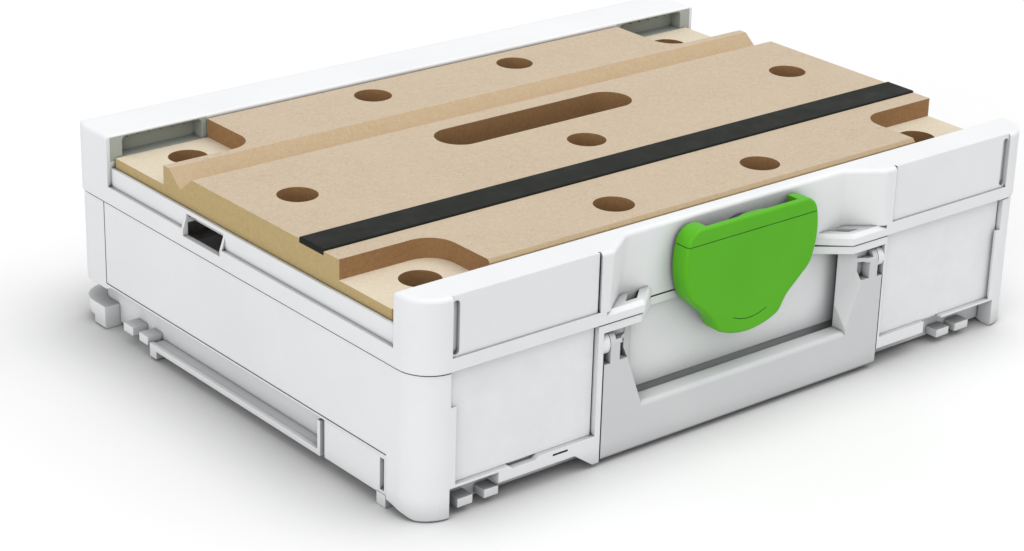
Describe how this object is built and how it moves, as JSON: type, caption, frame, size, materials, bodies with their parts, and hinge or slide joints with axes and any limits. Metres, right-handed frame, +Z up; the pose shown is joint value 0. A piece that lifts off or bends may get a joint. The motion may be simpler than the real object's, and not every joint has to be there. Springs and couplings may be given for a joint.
{
  "type": "stackable tool case",
  "caption": "Low white plastic tool case: hinged lid carrying a drilled fibre work board between two ridges, turning latch on the front and a fold-down carrying handle below it.",
  "frame": {"origin": "on the ground, centred under the closed case", "axes": "+X to the right seen from the latch side, +Y to the hinge side, +Z up"},
  "size_m": [0.396, 0.296, 0.108],
  "materials": {
    "white_plastic": "fine grained moulded plastic",
    "card_plastic": "smooth plain card",
    "mdf": "raw medium density fibre board",
    "strip_rubber": "matt black rubber",
    "socket_grey": "moulded grey plastic",
    "latch_green": "satin moulded plastic",
    "latch_grey": "moulded grey plastic",
    "zinc_steel": "zinc plated",
    "pin_steel": "bright drawn"
  },
  "bodies": {
    "base": {"base_shell": "white_plastic", "label_card_left": "card_plastic", "label_card_right": "card_plastic", "hinge_pin_left": "pin_steel", "hinge_pin_right": "pin_steel", "handle_pin_left": "pin_steel", "handle_pin_right": "pin_steel"},
    "lid": {"lid_shell": "white_plastic", "work_board": "mdf", "grip_strip": "strip_rubber", "board_screws": "zinc_steel", "board_washers": "zinc_steel", "socket_front_left": "socket_grey", "socket_front_right": "socket_grey", "socket_rear_left": "socket_grey", "socket_rear_right": "socket_grey"},
    "latch": {"latch_cover": "latch_green", "latch_back_plate": "latch_grey", "latch_hub": "latch_grey", "latch_spring_washer": "zinc_steel", "latch_washer": "zinc_steel", "latch_screw": "zinc_steel"},
    "handle": {"front_handle": "white_plastic"}
  },
  "joints": [
    {"name": "lid_hinge", "type": "hinge", "parent": "base", "child": "lid", "pos_m": [0, 0.144, 0.072], "axis": [-1, 0, 0], "range_deg": [0, 100]},
    {"name": "latch_turn", "type": "hinge", "parent": "lid", "child": "latch", "pos_m": [0, -0.14, 0.088], "axis": [0, -1, 0], "range_deg": [0, 180]},
    {"name": "handle_swing", "type": "hinge", "parent": "base", "child": "handle", "pos_m": [0, -0.1408, 0.0605], "axis": [-1, 0, 0], "range_deg": [0, 90]}
  ]
}
